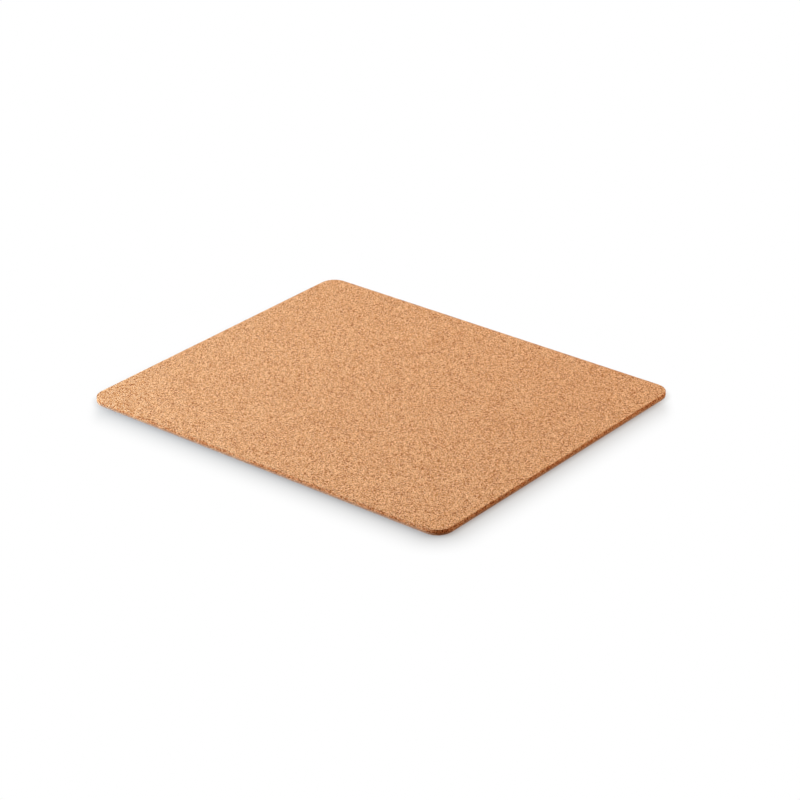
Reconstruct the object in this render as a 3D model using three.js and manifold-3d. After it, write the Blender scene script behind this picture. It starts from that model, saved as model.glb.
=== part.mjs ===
// Cork mouse pad: a flat rectangle with rounded corners, cut in one stroke from a bonded stack of
// three plies. A face of fine agglomerated cork lies on a film of adhesive, and the film lies on a
// base of cork-filled rubber that keeps the pad from sliding on the desk.
// Millimetres, +Z up. The origin is the middle of the underside, and the long side runs along X.

import * as THREE from 'three';
import { mergeVertices } from 'three/addons/utils/BufferGeometryUtils.js';
import Module from 'manifold-3d';

// Outline of the cut, shared by every ply
const PAD_LENGTH = 240;
const PAD_WIDTH = 200;
const CORNER_RADIUS = 9;
const CORNER_CHORDS = 16; // even, because three.js doubles the segments of an arc

// Plies, from the desk up
const BASE_THICKNESS = 1;
const FILM_THICKNESS = 0.1;
const FACE_THICKNESS = 2;

// The blade draws the upper edge of the cork down into a small round
const EDGE_ROUND = 0.3;
const EDGE_ROUND_SEGMENTS = 4;

// Finishes
const FACE_FINISH = { color: 0xd79e71, roughness: 0.85, metalness: 0 };
const FILM_FINISH = { color: 0xb98545, roughness: 0.5, metalness: 0 };
const BASE_FINISH = { color: 0xbc8866, roughness: 0.95, metalness: 0 };

const wasm = await Module();
wasm.setup();

// A rectangle with a quarter circle at each corner, anticlockwise from the +X side
function padOutline() {
  const outline = new THREE.Shape();
  const quarterTurn = Math.PI / 2;
  const cornerX = PAD_LENGTH / 2 - CORNER_RADIUS;
  const cornerY = PAD_WIDTH / 2 - CORNER_RADIUS;
  const corners = [[cornerX, cornerY], [-cornerX, cornerY], [-cornerX, -cornerY], [cornerX, -cornerY]];
  corners.forEach(([x, y], turn) => {
    outline.absarc(x, y, CORNER_RADIUS, turn * quarterTurn, (turn + 1) * quarterTurn);
  });
  outline.closePath();
  return outline;
}

// A closed geometry as a solid that can be cut
function toSolid(geometry) {
  geometry.deleteAttribute('normal');
  geometry.deleteAttribute('uv');
  const merged = mergeVertices(geometry);
  return new wasm.Manifold(new wasm.Mesh({
    numProp: 3,
    vertProperties: new Float32Array(merged.attributes.position.array),
    triVerts: new Uint32Array(merged.index.array),
  }));
}

// A cut solid as a geometry
function toGeometry(solid) {
  const mesh = solid.getMesh();
  const geometry = new THREE.BufferGeometry();
  geometry.setAttribute('position', new THREE.BufferAttribute(mesh.vertProperties, mesh.numProp));
  geometry.setIndex(new THREE.BufferAttribute(mesh.triVerts, 1));
  geometry.computeVertexNormals();
  return geometry;
}

// A ply with square edges, standing on z = 0
function squareSheet(thickness) {
  return new THREE.ExtrudeGeometry(padOutline(), {
    depth: thickness,
    curveSegments: CORNER_CHORDS / 2,
    bevelEnabled: false,
  });
}

// A ply with a rounded upper edge, standing on z = 0. It is drawn round at both edges, with the
// lower round below z = 0, and that is trimmed away so that the lower edge stays square.
function roundedSheet(thickness, round) {
  const blank = new THREE.ExtrudeGeometry(padOutline(), {
    depth: thickness - round,
    curveSegments: CORNER_CHORDS / 2,
    bevelSize: round,
    bevelOffset: -round,
    bevelThickness: round,
    bevelSegments: EDGE_ROUND_SEGMENTS,
  });
  const trimSpan = PAD_LENGTH + PAD_WIDTH;
  const trim = new THREE.BoxGeometry(trimSpan, trimSpan, thickness);
  trim.translate(0, 0, -thickness / 2);
  return toGeometry(toSolid(blank).subtract(toSolid(trim)));
}

function ply(name, geometry, finish) {
  const mesh = new THREE.Mesh(geometry, new THREE.MeshStandardMaterial(finish));
  mesh.name = name;
  return mesh;
}

// The plies lie face to face, each on the top of the one below it
const pad = new THREE.Group();
let height = 0;
for (const sheet of [
  ply('cork_rubber_base', squareSheet(BASE_THICKNESS), BASE_FINISH),
  ply('adhesive_film', squareSheet(FILM_THICKNESS), FILM_FINISH),
  ply('cork_face_sheet', roundedSheet(FACE_THICKNESS, EDGE_ROUND), FACE_FINISH),
]) {
  sheet.position.z = height;
  sheet.geometry.computeBoundingBox();
  height += sheet.geometry.boundingBox.max.z;
  pad.add(sheet);
}

export default pad;
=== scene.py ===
"""Cork mouse pad: three bonded plies, cut in one stroke, on a white studio floor.

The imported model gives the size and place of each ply. Every ply is modelled again here with the
surface that the real one shows: the sanded grain of the face, the crumbled cut edge, and the matt
skin of the base that grips the desk. Sizes are in metres.
"""

import logging
import math
import random
from dataclasses import dataclass, field
from enum import Enum
from typing import Any, Callable

import bmesh
import bpy
import numpy as np
from mathutils import Matrix, Vector


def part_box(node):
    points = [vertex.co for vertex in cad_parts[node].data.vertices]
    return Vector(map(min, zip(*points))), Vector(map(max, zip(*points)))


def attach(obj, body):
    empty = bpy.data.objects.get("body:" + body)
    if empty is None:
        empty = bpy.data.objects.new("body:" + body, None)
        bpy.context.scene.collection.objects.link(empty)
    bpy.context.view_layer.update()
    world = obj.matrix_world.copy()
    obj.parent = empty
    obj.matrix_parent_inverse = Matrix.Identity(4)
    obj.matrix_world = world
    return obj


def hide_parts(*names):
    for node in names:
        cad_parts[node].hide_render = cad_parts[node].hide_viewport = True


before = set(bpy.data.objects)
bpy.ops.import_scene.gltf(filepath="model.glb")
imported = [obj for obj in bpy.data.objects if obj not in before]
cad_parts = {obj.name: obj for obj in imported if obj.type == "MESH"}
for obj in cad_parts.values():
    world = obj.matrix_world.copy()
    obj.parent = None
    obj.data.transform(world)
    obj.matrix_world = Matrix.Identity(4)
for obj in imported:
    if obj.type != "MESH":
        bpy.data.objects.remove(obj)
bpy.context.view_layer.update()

MM = 0.001
BODY = "root"

# The mesh attribute that tells broken cork, 1, from the sanded face, 0
BROKEN = "broken"

# The vertex group of a cut edge, kept by its name, because modifier_apply replaces the group itself
CUT_EDGE = "cut_edge"

# Along Z, the least part of a normal on a bare face, and the most on an upright edge
FACING = 0.9
UPRIGHT = 0.1

log = logging.getLogger("mouse_pad")

Colour = tuple[float, float, float, float]
Tint = tuple[float, float, float]
WHITE: Colour = (1.0, 1.0, 1.0, 1.0)


class Side(Enum):
    """The side of a ply that stays bare, as the sign of its normal along Z."""

    UP = 1
    DOWN = -1


class Crumbs(Enum):
    """The textures that break up a cut edge."""

    GRANULES = "VORONOI"
    DUST = "CLOUDS"


class Measure(Enum):
    """What a packing of cells is measured from."""

    CENTRES = "F1"
    GAPS = "DISTANCE_TO_EDGE"


def paint(red: int, green: int, blue: int) -> Colour:
    """Turns a display colour into the linear colour that a shader takes.

    Args:
        red: Red, from 0 to 255.
        green: Green, from 0 to 255.
        blue: Blue, from 0 to 255.

    Returns:
        The linear colour, with full alpha.
    """
    def linear(value: int) -> float:
        """Gives one channel in linear light, by the sRGB curve."""
        share = value / 255
        return share / 12.92 if share <= 0.04045 else ((share + 0.055) / 1.055) ** 2.4

    return linear(red), linear(green), linear(blue), 1.0


def outward(azimuth: float, elevation: float) -> Vector:
    """Gives the direction from the pad to a place round it.

    Args:
        azimuth: The turn about Z from the -Y side, in degrees.
        elevation: The angle above the floor, in degrees.

    Returns:
        The direction, of length 1.
    """
    turn, rise = math.radians(azimuth), math.radians(elevation)
    return Vector((math.sin(turn) * math.cos(rise), -math.cos(turn) * math.cos(rise), math.sin(rise)))


class Signal:
    """A number socket in a material, on which Python's operators add Math nodes."""

    def __init__(self, shader: "Shader", socket: bpy.types.NodeSocket) -> None:
        """Keeps the socket and the material that it belongs to."""
        self.shader = shader
        self.socket = socket

    def _math(self, operation: str, first: "Signal | float", second: "Signal | float") -> "Signal":
        """Adds a Math node.

        Args:
            operation: The node's operation.
            first: Its first value or link.
            second: Its second value or link.

        Returns:
            The node's result.
        """
        node = self.shader.node("ShaderNodeMath", {"operation": operation}, {0: first, 1: second})
        return Signal(self.shader, node.outputs[0])

    def __add__(self, other: "Signal | float") -> "Signal":
        """Adds."""
        return self._math("ADD", self, other)

    __radd__ = __add__

    def __mul__(self, other: "Signal | float") -> "Signal":
        """Multiplies."""
        return self._math("MULTIPLY", self, other)

    __rmul__ = __mul__

    def __sub__(self, other: "Signal | float") -> "Signal":
        """Subtracts."""
        return self._math("SUBTRACT", self, other)

    def __rsub__(self, other: "Signal | float") -> "Signal":
        """Subtracts from a number."""
        return self._math("SUBTRACT", other, self)

    def __gt__(self, other: "Signal | float") -> "Signal":
        """Gives 1 where this is greater, and 0 elsewhere."""
        return self._math("GREATER_THAN", self, other)

    def __lt__(self, other: "Signal | float") -> "Signal":
        """Gives 1 where this is less, and 0 elsewhere."""
        return self._math("LESS_THAN", self, other)

    def fade(self, start: float, end: float) -> "Signal":
        """Goes smoothly from 1 at start to 0 at end.

        Args:
            start: The value up to which the result is 1.
            end: The value from which the result is 0.

        Returns:
            The faded signal.
        """
        sockets = {"Value": self, "From Min": start, "From Max": end, "To Min": 1.0, "To Max": 0.0}
        node = self.shader.node("ShaderNodeMapRange", {"interpolation_type": "SMOOTHSTEP"}, sockets)
        return Signal(self.shader, node.outputs[0])


class Shader:
    """A material or world under work, to which one method adds every node."""

    def __init__(self, owner: bpy.types.Material | bpy.types.World) -> None:
        """Starts on an empty node tree.

        Args:
            owner: The material or world that owns the tree.
        """
        owner.use_nodes = True
        self.owner = owner
        self.tree = owner.node_tree
        self.tree.nodes.clear()

    def node(self, kind: str, settings: dict[str, Any], sockets: dict[Any, Any]) -> bpy.types.Node:
        """Adds a node.

        Args:
            kind: The node's type.
            settings: Its properties, or a ramp's stops, which are set first.
            sockets: The value or link of each input, by its name or number.

        Returns:
            The new node.
        """
        node = self.tree.nodes.new(kind)
        for key, value in settings.items():
            if key == "stops":
                self._set_stops(node.color_ramp, value)
            else:
                setattr(node, key, value)
        for key, value in sockets.items():
            if isinstance(value, Signal):
                value = value.socket
            if isinstance(value, bpy.types.NodeSocket):
                self.tree.links.new(value, node.inputs[key])
            else:
                node.inputs[key].default_value = value
        return node

    @staticmethod
    def _set_stops(ramp: bpy.types.ColorRamp, stops: list[tuple[float, Colour]]) -> None:
        """Sets a ramp's stops.

        Args:
            ramp: The ramp, with its two stops as it is added.
            stops: The place and colour of each stop, in order.
        """
        while len(ramp.elements) < len(stops):
            ramp.elements.new(1.0)
        for element, (place, colour) in zip(ramp.elements, stops):
            element.position = place
            element.color = colour

    def number(self, node: bpy.types.Node, output: str) -> Signal:
        """Gives one of a node's outputs as a signal."""
        return Signal(self, node.outputs[output])

    def place(self) -> bpy.types.NodeSocket:
        """Gives the place on the piece, in its own coordinates."""
        return self.node("ShaderNodeTexCoord", {}, {}).outputs["Object"]

    def noise(self, place: bpy.types.NodeSocket, size: float, layers: float = 2.0) -> bpy.types.Node:
        """Adds soft noise.

        Args:
            place: Where it is read.
            size: The size of its largest blobs.
            layers: How many finer layers it holds.

        Returns:
            The noise node.
        """
        return self.node("ShaderNodeTexNoise", {}, {"Vector": place, "Scale": 1 / size, "Detail": layers})

    def cells(self, place: bpy.types.NodeSocket, size: float,
              measure: Measure = Measure.CENTRES) -> bpy.types.Node:
        """Adds a packing of irregular cells.

        Args:
            place: Where it is read.
            size: The size of a cell.
            measure: What the node measures from.

        Returns:
            The cell node.
        """
        sockets = {"Vector": place, "Scale": 1 / size}
        return self.node("ShaderNodeTexVoronoi", {"feature": measure.value}, sockets)

    def draws(self, cells: bpy.types.Node) -> tuple[Signal, Signal, Signal]:
        """Gives three random numbers for each cell."""
        parts = self.node("ShaderNodeSeparateColor", {}, {"Color": cells.outputs["Color"]})
        return self.number(parts, "Red"), self.number(parts, "Green"), self.number(parts, "Blue")

    def jostle(self, place: bpy.types.NodeSocket, size: float, reach: float) -> bpy.types.NodeSocket:
        """Shifts places by noise, so that cells read there have uneven sides.

        Args:
            place: The places to shift.
            size: The size of the noise.
            reach: How far a place may shift.

        Returns:
            The shifted places.
        """
        blobs = self.noise(place, size, layers=1.0).outputs["Color"]
        middle = (0.5, 0.5, 0.5)
        centred = self.node("ShaderNodeVectorMath", {"operation": "SUBTRACT"}, {0: blobs, 1: middle})
        sockets = {0: centred.outputs[0], "Scale": 2 * reach}
        shift = self.node("ShaderNodeVectorMath", {"operation": "SCALE"}, sockets)
        moved = self.node("ShaderNodeVectorMath", {"operation": "ADD"}, {0: place, 1: shift.outputs[0]})
        return moved.outputs[0]

    def ramp(self, signal: Signal, stops: list[tuple[float, Colour]]) -> bpy.types.NodeSocket:
        """Turns a number into a colour.

        Args:
            signal: The number, from 0 to 1.
            stops: The place and colour of each stop, in order.

        Returns:
            The colour.
        """
        return self.node("ShaderNodeValToRGB", {"stops": stops}, {"Fac": signal}).outputs["Color"]

    def blend(self, share: Signal, under: Any, over: Any) -> bpy.types.NodeSocket:
        """Lays one colour over another.

        Args:
            share: How much of the upper colour shows.
            under: The lower colour or its link.
            over: The upper colour or its link.

        Returns:
            The blended colour.
        """
        return self.node("ShaderNodeMix", {"data_type": "RGBA"}, {0: share, 6: under, 7: over}).outputs[2]

    def mix(self, share: Signal, under: Any, over: Any) -> bpy.types.NodeSocket:
        """Lays one shader over another.

        Args:
            share: How much of the upper shader shows.
            under: The lower shader's link.
            over: The upper shader's link.

        Returns:
            The mixed shader.
        """
        return self.node("ShaderNodeMixShader", {}, {0: share, 1: under, 2: over}).outputs[0]

    def beyond(self, centre: Vector, half: Vector, turn: float = 0.0) -> Signal:
        """Gives how far a place lies outside a rectangle.

        Args:
            centre: The rectangle's centre.
            half: Half its length and width.
            turn: Its turn about Z, in degrees.

        Returns:
            The distance, which is 0 in the rectangle.
        """
        steps = (("SUBTRACT", centre), ("ABSOLUTE", None), ("SUBTRACT", half), ("MAXIMUM", Vector()))
        sockets = {"Vector": self.place(), "Angle": -math.radians(turn)}
        offset = self.node("ShaderNodeVectorRotate", {"rotation_type": "Z_AXIS"}, sockets).outputs[0]
        for operation, other in steps:
            sockets = {0: offset} if other is None else {0: offset, 1: other}
            offset = self.node("ShaderNodeVectorMath", {"operation": operation}, sockets).outputs[0]
        return self.number(self.node("ShaderNodeVectorMath", {"operation": "LENGTH"}, {0: offset}), "Value")

    def seen(self, light_path: bpy.types.Node) -> Signal:
        """Gives 1 for what the camera sees, straight, in a gloss or through glass, and 0 elsewhere."""
        straight = self.number(light_path, "Is Camera Ray") + self.number(light_path, "Is Glossy Ray")
        return straight + self.number(light_path, "Is Transmission Ray")

    def surface(self, sockets: dict[str, Any]) -> None:
        """Ends the material in a surface shader with these sockets."""
        shader = self.node("ShaderNodeBsdfPrincipled", {}, sockets)
        self.node("ShaderNodeOutputMaterial", {}, {"Surface": shader.outputs[0]})

    def relief(self, height: Signal, depth: float) -> bpy.types.NodeSocket:
        """Turns a height from 0 to 1 into a normal, with the depth that 1 stands for."""
        return self.node("ShaderNodeBump", {}, {"Distance": depth, "Height": height}).outputs["Normal"]


@dataclass(frozen=True)
class CorkFinish:
    """Fine agglomerated cork: packed granules, each of its own tone, with bark flecks and seams.

    Granule, chip, fleck, pore and cloud are sizes. The tone of a place picks its colour from brown to
    pale on the sanded face, and from cut_dark to cut_light where the cork is broken.
    """

    name: str
    granule: float = 0.36 * MM
    chip: float = 0.26 * MM
    fleck: float = 0.6 * MM
    pore: float = 0.14 * MM
    cloud: float = 30 * MM
    relief: float = 0.045 * MM
    uneven_sides: float = 0.3
    chipped: float = 0.5
    contrast: float = 1.5
    pore_tone: float = 0.3
    cloud_tone: float = 0.1
    darkening: float = 0.42
    tan_tone: float = 0.3
    light_tone: float = 0.62
    clump_tone: float = 0.7
    cut_mid_tone: float = 0.5
    seam_width: float = 0.09
    seam_cover: float = 0.5
    fleck_limit: float = 0.905
    broken_flecks: float = 0.07
    fleck_cover: float = 0.6
    fleck_pores: float = 0.5
    dome_height: float = 0.5
    seam_depth: float = 0.35
    pore_depth: float = 0.35
    roughness: float = 0.82
    seam_roughness: float = 0.1
    broken_roughness: float = 0.08
    gloss: float = 0.12
    pale: Colour = paint(254, 205, 160)
    light: Colour = paint(237, 175, 122)
    tan: Colour = paint(202, 135, 77)
    brown: Colour = paint(146, 74, 4)
    bark: Colour = paint(130, 54, 3)
    seam: Colour = paint(166, 100, 44)
    cut_light: Colour = paint(252, 204, 150)
    cut_mid: Colour = paint(238, 151, 93)
    cut_dark: Colour = paint(140, 58, 22)

    def material(self) -> bpy.types.Material:
        """Makes the material.

        Returns:
            The cork material, which reads how far a place is broken below the sanded face.
        """
        shader = Shader(bpy.data.materials.new(self.name))
        place = shader.place()
        uneven = shader.jostle(place, self.granule, self.uneven_sides * self.granule)
        granules = shader.cells(uneven, self.granule)
        tone, kind, _ = shader.draws(granules)
        chip_tone, _, _ = shader.draws(shader.cells(uneven, self.chip))
        clump, fleck, _ = shader.draws(shader.cells(uneven, self.fleck))
        gaps = shader.cells(uneven, self.granule, Measure.GAPS)
        pores = shader.number(shader.noise(place, self.pore), "Fac")
        clouds = shader.number(shader.noise(place, self.cloud), "Fac")
        broken = shader.number(shader.node("ShaderNodeAttribute", {"attribute_name": BROKEN}, {}), "Fac")

        split = kind > self.chipped
        mixed = tone * (1 - split) + chip_tone * split
        shade = mixed * self.contrast + pores * self.pore_tone + clouds * self.cloud_tone - self.darkening
        sanded = shader.ramp(shade, [
            (0.0, self.brown), (self.tan_tone, self.tan), (self.light_tone, self.light), (1.0, self.pale)])
        rough = shade * (1 - self.clump_tone) + clump * self.clump_tone
        torn = shader.ramp(rough, [
            (0.0, self.cut_dark), (self.cut_mid_tone, self.cut_mid), (1.0, self.cut_light)])
        colour = shader.blend(broken, sanded, torn)
        seams = shader.number(gaps, "Distance").fade(0.0, self.seam_width)
        colour = shader.blend(seams * self.seam_cover, colour, self.seam)
        cover = self.fleck_cover + pores * self.fleck_pores
        flecks = (fleck + broken * self.broken_flecks > self.fleck_limit) * cover
        colour = shader.blend(flecks, colour, self.bark)

        dome = 1 - shader.number(granules, "Distance")
        height = dome * self.dome_height - seams * self.seam_depth + pores * self.pore_depth
        shader.surface({
            "Base Color": colour,
            "Roughness": self.roughness + seams * self.seam_roughness + broken * self.broken_roughness,
            "Specular IOR Level": self.gloss,
            "Normal": shader.relief(height, self.relief),
        })
        return shader.owner


@dataclass(frozen=True)
class CorkRubberFinish:
    """Rubber filled with cork: a matt brown skin, with paler granules that show through it.

    Granule, pore and cloud are sizes. The skin lies over the gaps between the granules, from
    skin_start to skin_end, and over the granules that are buried.
    """

    name: str
    granule: float = 0.9 * MM
    pore: float = 0.2 * MM
    cloud: float = 22 * MM
    relief: float = 0.08 * MM
    uneven_sides: float = 0.3
    own_tone: float = 0.7
    pore_tone: float = 0.3
    skin_start: float = 0.05
    skin_end: float = 0.16
    buried: float = 0.62
    buried_cover: float = 0.75
    cover: float = 0.8
    cloud_cover: float = 0.3
    granule_height: float = 0.6
    pore_depth: float = 0.3
    roughness: float = 0.8
    pore_roughness: float = 0.15
    gloss: float = 0.3
    rubber: Colour = paint(184, 131, 99)
    granule_dark: Colour = paint(200, 144, 105)
    granule_light: Colour = paint(240, 190, 148)

    def material(self) -> bpy.types.Material:
        """Makes the material.

        Returns:
            The cork-filled rubber material.
        """
        shader = Shader(bpy.data.materials.new(self.name))
        place = shader.place()
        uneven = shader.jostle(place, self.granule, self.uneven_sides * self.granule)
        granules = shader.cells(uneven, self.granule)
        tone, kind, _ = shader.draws(granules)
        gaps = shader.number(shader.cells(uneven, self.granule, Measure.GAPS), "Distance")
        pores = shader.number(shader.noise(place, self.pore), "Fac")
        clouds = shader.number(shader.noise(place, self.cloud), "Fac")

        stops = [(0.0, self.granule_dark), (1.0, self.granule_light)]
        cork = shader.ramp(tone * self.own_tone + pores * self.pore_tone, stops)
        skin = gaps.fade(self.skin_start, self.skin_end)
        buried = (kind > self.buried) * self.buried_cover
        film = (skin + (1 - skin) * buried) * (self.cover + clouds * self.cloud_cover)
        height = (1 - skin) * self.granule_height + pores * self.pore_depth
        shader.surface({
            "Base Color": shader.blend(film, cork, self.rubber),
            "Roughness": self.roughness + pores * self.pore_roughness,
            "Specular IOR Level": self.gloss,
            "Normal": shader.relief(height, self.relief),
        })
        return shader.owner


@dataclass(frozen=True)
class GlueFinish:
    """Amber film of adhesive, seen only as a hairline between the plies."""

    name: str
    streak: float = 3 * MM
    layers: float = 3.0
    relief: float = 0.01 * MM
    thick_streak: float = 0.35
    thin_streak: float = 0.65
    roughness: float = 0.35
    streak_roughness: float = 0.3
    thick: Colour = paint(150, 98, 52)
    thin: Colour = paint(192, 140, 84)

    def material(self) -> bpy.types.Material:
        """Makes the material.

        Returns:
            The adhesive material.
        """
        shader = Shader(bpy.data.materials.new(self.name))
        streaks = shader.number(shader.noise(shader.place(), self.streak, self.layers), "Fac")
        stops = [(self.thick_streak, self.thick), (self.thin_streak, self.thin)]
        shader.surface({
            "Base Color": shader.ramp(streaks, stops),
            "Roughness": self.roughness + streaks * self.streak_roughness,
            "Normal": shader.relief(streaks, self.relief),
        })
        return shader.owner


class Workpiece:
    """A mesh object under work, shaped by operators on the faces and edges that are picked."""

    def __init__(self, piece: bpy.types.Object) -> None:
        """Keeps the object that the last primitive made."""
        self.piece = piece

    @classmethod
    def grid(cls, name: str, size: Vector, cell: float, height: float, bare: Side) -> "Workpiece":
        """Adds a flat grid, centred on the pad.

        Args:
            name: The piece's name.
            size: The grid's length and width.
            cell: About how large its cells are.
            height: The height at which it lies.
            bare: The side that its normals point to.

        Returns:
            The grid as a workpiece.
        """
        bpy.ops.object.select_all(action="DESELECT")
        turn = 0.0 if bare is Side.UP else math.pi
        bpy.ops.mesh.primitive_grid_add(
            x_subdivisions=round(size.x / cell), y_subdivisions=round(size.y / cell), size=1,
            location=(0, 0, height), rotation=(turn, 0, 0))
        bpy.ops.transform.resize(value=(size.x, size.y, 1))
        bpy.ops.object.transform_apply(location=True, rotation=True, scale=True)
        piece = bpy.context.object
        piece.name = name
        piece.data.name = name
        return cls(piece)

    def places(self) -> np.ndarray:
        """Reads where the vertices are.

        Returns:
            The vertices' places, one row each.
        """
        flat = np.empty(3 * len(self.piece.data.vertices))
        self.piece.data.vertices.foreach_get("co", flat)
        return flat.reshape(-1, 3)

    def put(self, places: np.ndarray) -> None:
        """Moves the vertices to these places."""
        self.piece.data.vertices.foreach_set("co", places.ravel())
        self.piece.data.update()

    def edit(self) -> None:
        """Opens the mesh for editing."""
        bpy.context.view_layer.objects.active = self.piece
        bpy.ops.object.mode_set(mode="EDIT")

    def close(self) -> None:
        """Ends editing."""
        bpy.ops.object.mode_set(mode="OBJECT")

    def pick_edges(self, test: Callable[[bmesh.types.BMEdge], bool]) -> None:
        """Selects the edges that pass a test, and nothing else.

        Args:
            test: Tells whether an edge is wanted.
        """
        bpy.ops.mesh.select_mode(type="EDGE")
        bpy.ops.mesh.select_all(action="DESELECT")
        mesh = bmesh.from_edit_mesh(self.piece.data)
        for edge in mesh.edges:
            edge.select_set(test(edge))
        bmesh.update_edit_mesh(self.piece.data)

    def pick_faces(self, test: Callable[[bmesh.types.BMFace], bool]) -> None:
        """Selects the faces that pass a test, and nothing else.

        Args:
            test: Tells whether a face is wanted.
        """
        bpy.ops.mesh.select_mode(type="FACE")
        bpy.ops.mesh.select_all(action="DESELECT")
        mesh = bmesh.from_edit_mesh(self.piece.data)
        for face in mesh.faces:
            face.select_set(test(face))
        bmesh.update_edit_mesh(self.piece.data)

    def turn_faces_out(self) -> None:
        """Makes every face point outwards."""
        bpy.ops.mesh.select_all(action="SELECT")
        bpy.ops.mesh.normals_make_consistent(inside=False)

    def roughen(self, group: str, size: float, depth: float, crumbs: Crumbs) -> None:
        """Pushes a group of vertices in and out by a procedural texture.

        Args:
            group: The vertex group.
            size: The size of the texture's blobs.
            depth: How far the deepest hollow lies under the highest point.
            crumbs: The texture.
        """
        texture = bpy.data.textures.new(f"{self.piece.name}_{crumbs.name.lower()}", crumbs.value)
        texture.noise_scale = size
        displace = self.piece.modifiers.new("roughen", "DISPLACE")
        displace.texture = texture
        displace.texture_coords = "LOCAL"
        displace.vertex_group = group
        displace.strength = depth
        displace.mid_level = 0.5
        bpy.context.view_layer.objects.active = self.piece
        bpy.ops.object.modifier_apply(modifier=displace.name)


@dataclass
class Outline:
    """The pad's rounded rectangle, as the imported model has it."""

    half_length: float
    half_width: float
    radius: float

    @classmethod
    def of_node(cls, node: str) -> "Outline":
        """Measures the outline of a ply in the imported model.

        Args:
            node: The ply's node.

        Returns:
            Its outline. The corners start where the straight end stops.
        """
        _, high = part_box(node)
        slack = 0.001 * MM
        end = [v.co.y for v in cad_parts[node].data.vertices if v.co.x > high.x - slack]
        return cls(high.x, high.y, high.y - max(end))

    def core(self, places: np.ndarray) -> np.ndarray:
        """Gives each place's nearest point of the rectangle that the corners' centres span."""
        reach = np.array([self.half_length - self.radius, self.half_width - self.radius])
        return np.clip(places[:, :2], -reach, reach)

    def inset(self, place: Vector) -> float:
        """Gives how far a place lies within the outline, up to the corners' radius.

        Args:
            place: The place, of which the height doesn't matter.

        Returns:
            The distance to the outline, or the radius further in.
        """
        over_x = max(abs(place.x) - self.half_length + self.radius, 0.0)
        over_y = max(abs(place.y) - self.half_width + self.radius, 0.0)
        return self.radius - math.hypot(over_x, over_y)

    def round_corners(self, places: np.ndarray) -> np.ndarray:
        """Draws the four square corners of a grid in to quarter circles, with the cells following.

        Args:
            places: The places of a grid that fills the rectangle.

        Returns:
            The new places.
        """
        core = self.core(places)
        reach = (places[:, :2] - core) / self.radius
        across = reach[:, ::-1]
        drawn = places.copy()
        drawn[:, :2] = core + self.radius * reach * np.sqrt(1 - across ** 2 / 2)
        return drawn


@dataclass
class Ply:
    """One sheet of the stack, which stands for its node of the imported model."""

    name: str
    node: str
    slot: str
    finish: CorkFinish | CorkRubberFinish | GlueFinish
    outline: Outline

    def _dress(self, piece: bpy.types.Object) -> bpy.types.Object:
        """Gives the piece its finish and its place in the frame.

        Args:
            piece: The modelled piece.

        Returns:
            The finished piece.
        """
        piece.data.materials.clear()
        piece.data.materials.append(self.finish.material())
        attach(piece, BODY)
        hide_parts(self.node)
        return piece


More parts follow.
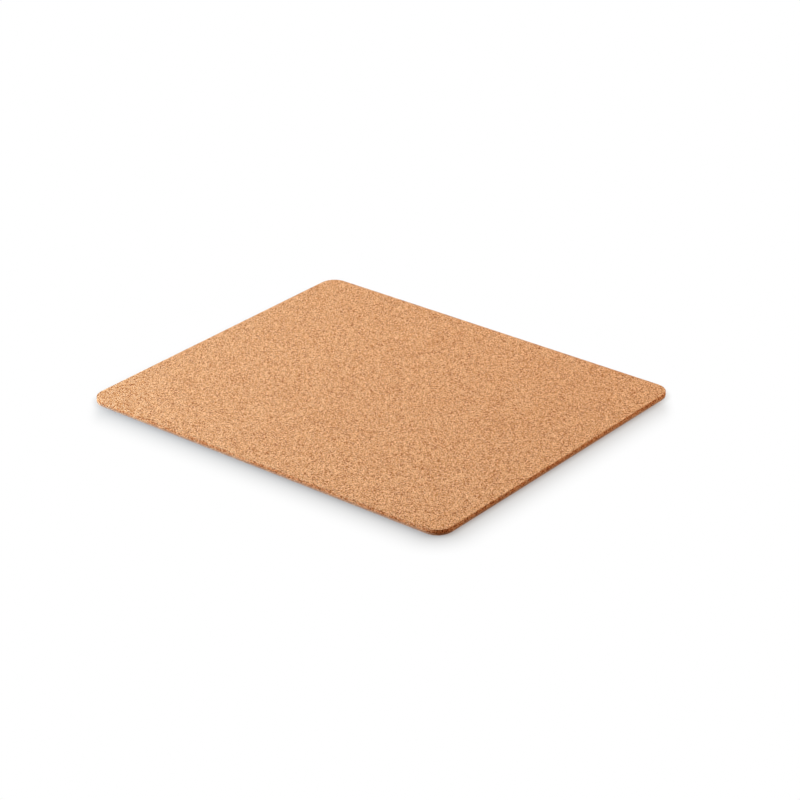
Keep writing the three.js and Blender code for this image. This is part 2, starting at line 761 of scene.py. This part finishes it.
@dataclass
class GrainedPly(Ply):
    """A ply with one bare side: grained, with a rounded rim, pits and a crumbled cut edge.

    Cells nearer to the outline than plain_cells of them keep their place and height.
    """

    bare: Side
    cell: float
    rim: float
    rim_segments: int
    edge_rows: int
    shuffle: float
    grain: float
    pits: int
    pit_wall: float
    pit_depth: float
    crumb: float
    crumb_depth: float
    seed: int
    plain_cells: float = 2.5
    crease_angle: float = 55.0
    face_height: float = field(init=False)
    thickness: float = field(init=False)

    def build(self) -> bpy.types.Object:
        """Models the ply and dresses it.

        Returns:
            The finished piece.
        """
        low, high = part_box(self.node)
        self.face_height = high.z if self.bare is Side.UP else low.z
        self.thickness = high.z - low.z
        work = Workpiece.grid(self.name, high - low, self.cell, self.face_height, self.bare)
        work.put(self.outline.round_corners(work.places()))
        work.edit()
        self._extrude_edge(work)
        self._round_rim(work)
        self._cut_rows(work)
        self._raise_grain(work)
        self._break_out_pits(work)
        work.close()
        self._crumble_edge(work)
        self._mark_broken(work)
        bpy.ops.object.shade_smooth_by_angle(angle=math.radians(self.crease_angle))
        return self._dress(work.piece)

    def _depth(self, vertex: bpy.types.MeshVertex) -> float:
        """Gives how far a vertex lies behind the bare face."""
        return (self.face_height - vertex.co.z) * self.bare.value

    def _is_face(self, face: bmesh.types.BMFace) -> bool:
        """Tells whether a face belongs to the bare side."""
        return face.normal.z * self.bare.value > FACING

    def _is_inner_face(self, face: bmesh.types.BMFace) -> bool:
        """Tells whether a face belongs to the bare side, clear of the rim."""
        clear = self.outline.inset(face.calc_center_median()) >= self.plain_cells * self.cell
        return self._is_face(face) and clear

    def _is_rim(self, edge: bmesh.types.BMEdge) -> bool:
        """Tells whether an edge lies between the bare face and the upright cut edge."""
        upright = [abs(face.normal.z) < UPRIGHT for face in edge.link_faces]
        return any(upright) and any(map(self._is_face, edge.link_faces))

    def _extrude_edge(self, work: Workpiece) -> None:
        """Draws the rim of the bare side through the thickness, and closes the bonded side.

        Args:
            work: The ply, as a flat grid.
        """
        work.pick_edges(lambda edge: edge.is_boundary)
        step = (0, 0, -self.bare.value * self.thickness)
        bpy.ops.mesh.extrude_region_move(TRANSFORM_OT_translate={"value": step})
        bpy.ops.mesh.edge_face_add()
        work.turn_faces_out()

    def _round_rim(self, work: Workpiece) -> None:
        """Rounds the rim between the bare face and the cut edge."""
        work.pick_edges(self._is_rim)
        bpy.ops.mesh.bevel(offset=self.rim, segments=self.rim_segments, profile=0.5, affect="EDGES")

    def _cut_rows(self, work: Workpiece) -> None:
        """Divides the cut edge into rows.

        Args:
            work: The ply, with its rim rounded.
        """
        least = (self.thickness - self.rim) / 2
        work.pick_edges(lambda edge: abs(edge.verts[0].co.z - edge.verts[1].co.z) > least)
        bpy.ops.mesh.subdivide(number_cuts=self.edge_rows - 1)

    def _raise_grain(self, work: Workpiece) -> None:
        """Shuffles the cells of the bare face, and gives them the height of the sanded grain.

        Args:
            work: The ply, with a flat face.
        """
        work.pick_faces(self._is_inner_face)
        bpy.ops.transform.vertex_random(offset=self.shuffle, seed=self.seed)
        flatten = (1, 1, self.grain / self.shuffle)
        bpy.ops.transform.resize(value=flatten, center_override=(0, 0, self.face_height))

    def _break_out_pits(self, work: Workpiece) -> None:
        """Takes single granules out of the bare face.

        Args:
            work: The ply, with a grained face.
        """
        mesh = bmesh.from_edit_mesh(work.piece.data)
        mesh.faces.index_update()
        whole = [face.index for face in mesh.faces if self._is_inner_face(face)]
        chosen = set(random.Random(self.seed).sample(whole, self.pits))
        work.pick_faces(lambda face: face.index in chosen)
        bpy.ops.mesh.inset(thickness=self.pit_wall, depth=-self.pit_depth, use_individual=True)
        bpy.ops.transform.vertex_random(offset=self.pit_wall / 2, seed=self.seed)

    def _crumble_edge(self, work: Workpiece) -> None:
        """Breaks up the cut edge, granule by granule.

        Args:
            work: The ply, with a smooth cut edge.
        """
        group = work.piece.vertex_groups.new(name=CUT_EDGE)
        for vertex in work.piece.data.vertices:
            if self.outline.inset(vertex.co) < self.cell / 2:
                share = min(self._depth(vertex) / self.rim, 1.0)
                group.add([vertex.index], share, "REPLACE")
        work.roughen(CUT_EDGE, self.crumb, self.crumb_depth, Crumbs.GRANULES)
        work.roughen(CUT_EDGE, self.crumb / 2, self.crumb_depth / 2, Crumbs.DUST)
        work.piece.vertex_groups.clear()

    def _mark_broken(self, work: Workpiece) -> None:
        """Stores how far each vertex lies below the sanded face, for the finish to read.

        Args:
            work: The ply, in its final shape.
        """
        depths = np.array([self._depth(vertex) for vertex in work.piece.data.vertices])
        broken = np.clip((depths - self.grain) / self.rim, 0, 1)
        attribute = work.piece.data.attributes.new(BROKEN, "FLOAT", "POINT")
        attribute.data.foreach_set("value", broken)


@dataclass
class GlueFilm(Ply):
    """The film of adhesive, a hair back from the cut edge, where the blade drew it in."""

    drawn_in: float
    corner_segments: int

    def build(self) -> bpy.types.Object:
        """Models the film and dresses it.

        Returns:
            The finished piece.
        """
        low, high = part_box(self.node)
        back = Vector((self.drawn_in, self.drawn_in, 0))
        size = high - low - 2 * back
        work = Workpiece.grid(self.name, size, max(size), low.z, Side.DOWN)
        work.edit()
        bpy.ops.mesh.select_all(action="SELECT")
        radius = self.outline.radius - self.drawn_in
        bpy.ops.mesh.bevel(offset=radius, segments=self.corner_segments, affect="VERTICES")
        bpy.ops.mesh.select_all(action="SELECT")
        bpy.ops.mesh.extrude_region_move(TRANSFORM_OT_translate={"value": (0, 0, size.z)})
        work.turn_faces_out()
        work.close()
        return self._dress(work.piece)


@dataclass(frozen=True)
class Softbox:
    """A rectangular area lamp that faces the pad, at a direction and distance from its middle."""

    name: str
    tint: Tint
    azimuth: float
    elevation: float
    distance: float
    width: float
    height: float
    power: float

    def build(self) -> None:
        """Hangs the lamp at its place."""
        lamp = bpy.data.lights.new(self.name, "AREA")
        lamp.color = self.tint
        lamp.shape = "RECTANGLE"
        lamp.size = self.width
        lamp.size_y = self.height
        lamp.energy = self.power
        holder = bpy.data.objects.new(self.name, lamp)
        back = outward(self.azimuth, self.elevation)
        holder.location = back * self.distance
        holder.rotation_euler = back.to_track_quat("Z", "Y").to_euler()
        holder.visible_camera = False
        bpy.context.scene.collection.objects.link(holder)


@dataclass
class Studio:
    """White floor, soft light and the camera.

    The floor is clear to rays shorter than clear_reach. Its shadow is painted: a mask in the shape of
    the pad's outline, moved by shadow_fall, lets the camera see the floor's lit grey, with the pad's
    real shadow in it, instead of plain white. The painted shadow thins along X and past the corners
    that lie furthest to the sides, and a narrow painted contact shade runs all round the pad.
    """

    outline: Outline
    floor_side: float = 8.0
    floor_gap: float = 0.05 * MM
    clear_reach: float = 0.3 * MM
    # floor_colour is the grey that the camera sees inside the painted shadow; bounce_colour is what the
    # floor throws on the pad
    floor_colour: Colour = (0.37, 0.347, 0.333, 1.0)
    bounce_colour: Colour = (0.3, 0.225, 0.17, 1.0)
    shadow_fall: Vector = Vector((5.1, -6.2, 0.0)) * MM
    shadow_inset: Vector = Vector((6.0, 6.0, 0.0)) * MM
    shadow_round: float = 9 * MM
    shadow_width: float = 22 * MM
    shadow_depth: float = 0.72
    shadow_thins: float = 0.38
    side_turn: float = 39.505
    side_reach: float = 149 * MM
    side_fade: float = 8.3 * MM
    # The painted contact shade all round the pad: how wide it is, and how much white it takes
    contact_shade_width: float = 4 * MM
    contact_shade_depth: float = 0.2
    sky: float = 0.14
    sky_colour: Colour = (1.0, 0.68, 0.42, 1.0)
    ground: float = 0.92
    daylight: Tint = (0.77, 1.13, 1.46)
    pale_sky: Tint = (0.77, 1.0, 1.17)
    soft_white: Tint = (1.0, 0.926, 0.85)
    warm_white: Tint = (1.0, 0.91, 0.81)
    amber: Tint = (1.0, 0.35, 0.05)
    aim: Vector = Vector((0.0135, -0.0005, 0.0031))
    azimuth: float = 39.505
    elevation: float = 26.651
    roll: float = -0.642
    distance: float = 1.3863
    lens: float = 117.02

    def build(self) -> None:
        """Sets up the whole studio."""
        self._lay_floor()
        self._light_room()
        for lamp in self._lamps():
            lamp.build()
        self._set_camera()
        bpy.context.scene.view_settings.view_transform = "Standard"

    def _lay_floor(self) -> None:
        """Lays the floor just under the pad. From below it is clear, and lets light reach the base."""
        bpy.ops.object.select_all(action="DESELECT")
        bpy.ops.mesh.primitive_plane_add(size=self.floor_side, location=(0, 0, -self.floor_gap))
        floor = bpy.context.object
        floor.name = "studio_floor"
        shader = Shader(bpy.data.materials.new("white_floor"))
        light_path = shader.node("ShaderNodeLightPath", {}, {})
        geometry = shader.node("ShaderNodeNewGeometry", {}, {})
        seen = shader.seen(light_path)
        near = shader.number(light_path, "Ray Length") < self.clear_reach
        clear = near + shader.number(geometry, "Backfacing")
        grey = shader.blend(seen, self.bounce_colour, self.floor_colour)
        matt = shader.node("ShaderNodeBsdfDiffuse", {}, {"Color": grey}).outputs[0]
        white = shader.node("ShaderNodeEmission", {}, {"Color": WHITE, "Strength": 1.0}).outputs[0]
        # The camera sees white, except where the painted shadow lets the floor's lit grey show
        lit = shader.mix(seen * (1 - self._shadow(shader)), matt, white)
        through = shader.node("ShaderNodeBsdfTransparent", {}, {}).outputs[0]
        whole = shader.mix(clear, lit, through)
        shader.node("ShaderNodeOutputMaterial", {}, {"Surface": whole})
        floor.data.materials.append(shader.owner)

    def _shadow(self, shader: Shader) -> Signal:
        """Gives the painted shadow round the pad: how much of its white the floor loses.

        It loses it under a painted shadow, and in a narrow painted shade at the pad's rim.

        Args:
            shader: The floor's material.

        Returns:
            The share, from 0 to 1.
        """
        half = Vector((self.outline.half_length, self.outline.half_width, 0.0))
        half = half - Vector((self.shadow_round, self.shadow_round, 0.0))
        # rim is a painted contact shade: the floor loses some white close to the pad's outline
        beside = shader.beyond(Vector(), half) - self.shadow_round
        rim = beside.fade(0.0, self.contact_shade_width) * self.contact_shade_depth
        # Painted shadow: the pad's outline moved by shadow_fall, fading out over shadow_width
        far = shader.beyond(self.shadow_fall, half - self.shadow_inset) - self.shadow_round
        out = (far > 0.0) * far * (1 / self.shadow_width)
        under = (out < 1.0) * (1 - out)
        strip = Vector((self.side_reach, self.floor_side, 0.0))
        between = shader.beyond(Vector(), strip, self.side_turn).fade(0.0, self.side_fade)
        # The painted shadow is lighter towards +X, by shadow_thins per metre
        along = shader.number(shader.node("ShaderNodeSeparateXYZ", {}, {0: shader.place()}), "X")
        depth = self.shadow_depth - along * self.shadow_thins
        cast = under * under * between * depth
        return cast + rim * (1 - cast)

    def _light_room(self) -> None:
        """Fills the room with even light, and makes it white where the camera looks past the floor."""
        world = bpy.data.worlds.new("white_room")
        bpy.context.scene.world = world
        shader = Shader(world)
        light_path = shader.node("ShaderNodeLightPath", {}, {})
        direction = shader.node("ShaderNodeTexCoord", {}, {}).outputs["Generated"]
        upward = shader.number(shader.node("ShaderNodeSeparateXYZ", {}, {0: direction}), "Z") > 0.0
        levels = ((WHITE, self.ground), (self.sky_colour, self.sky), (WHITE, 1.0))
        below, above, white = (
            shader.node("ShaderNodeBackground", {}, {"Color": colour, "Strength": strength}).outputs[0]
            for colour, strength in levels)
        whole = shader.mix(shader.seen(light_path), shader.mix(upward, below, above), white)
        shader.node("ShaderNodeOutputWorld", {}, {"Surface": whole})

    def _lamps(self) -> list[Softbox]:
        """Lists the lamps, with cooler light on the left and warmer light on the right.

        Returns:
            The lamps, which still have to be hung.
        """
        return [
            Softbox("back_softbox", self.soft_white, azimuth=219.5, elevation=50, distance=1.3,
                    width=1.0, height=1.0, power=3.5),
            Softbox("top_softbox", self.soft_white, azimuth=219.5, elevation=80, distance=1.3,
                    width=1.0, height=1.0, power=1.65),
            Softbox("right_softbox", self.soft_white, azimuth=185, elevation=30, distance=2.0,
                    width=1.2, height=0.8, power=12.2),
            Softbox("right_fill", self.warm_white, azimuth=140, elevation=20, distance=1.0,
                    width=0.5, height=0.3, power=4.9),
            Softbox("front_strip", self.daylight, azimuth=310, elevation=12, distance=0.8,
                    width=0.6, height=0.2, power=7.25),
            Softbox("front_fill", self.amber, azimuth=10, elevation=12, distance=0.5,
                    width=0.3, height=0.15, power=0.16),
            Softbox("left_softbox", self.pale_sky, azimuth=309.5, elevation=55, distance=0.6,
                    width=0.4, height=0.4, power=1.57),
        ]

    def _set_camera(self) -> None:
        """Puts the camera where the photograph was taken from."""
        lens = bpy.data.cameras.new("camera")
        lens.lens = self.lens
        camera = bpy.data.objects.new("camera", lens)
        turn = Matrix.Rotation(math.radians(self.azimuth), 4, "Z")
        tilt = Matrix.Rotation(math.radians(90 - self.elevation), 4, "X")
        roll = Matrix.Rotation(math.radians(self.roll), 4, "Z")
        place = self.aim + outward(self.azimuth, self.elevation) * self.distance
        camera.matrix_world = Matrix.Translation(place) @ turn @ tilt @ roll
        bpy.context.scene.collection.objects.link(camera)
        bpy.context.scene.camera = camera


def main() -> None:
    """Builds the pad from the desk up, then the studio round it."""
    logging.basicConfig(level=logging.INFO, format="%(name)s: %(message)s")
    outline = Outline.of_node("cork_rubber_base")
    plies = [
        GrainedPly(
            name="grip_base", node="cork_rubber_base", slot="base_cork_rubber", bare=Side.DOWN,
            finish=CorkRubberFinish("cork_filled_rubber"), outline=outline, cell=1.2 * MM,
            rim=0.15 * MM, rim_segments=2, edge_rows=3, shuffle=0.3 * MM, grain=0.03 * MM,
            pits=260, pit_wall=0.25 * MM, pit_depth=0.12 * MM, crumb=0.9 * MM, crumb_depth=0.3 * MM,
            seed=31),
        GlueFilm(
            name="glue_film", node="adhesive_film", slot="adhesive", finish=GlueFinish("amber_glue"),
            outline=outline, drawn_in=0.15 * MM, corner_segments=16),
        GrainedPly(
            name="cork_face", node="cork_face_sheet", slot="face_cork", bare=Side.UP,
            finish=CorkFinish("sanded_cork"), outline=outline, cell=0.8 * MM,
            rim=0.3 * MM, rim_segments=3, edge_rows=5, shuffle=0.22 * MM, grain=0.045 * MM,
            pits=900, pit_wall=0.16 * MM, pit_depth=0.25 * MM, crumb=0.8 * MM, crumb_depth=0.36 * MM,
            seed=17),
    ]
    for ply in plies:
        piece = ply.build()
        log.info("%s: %d faces", piece.name, len(piece.data.polygons))
    Studio(outline).build()


if __name__ == "__main__":
    main()
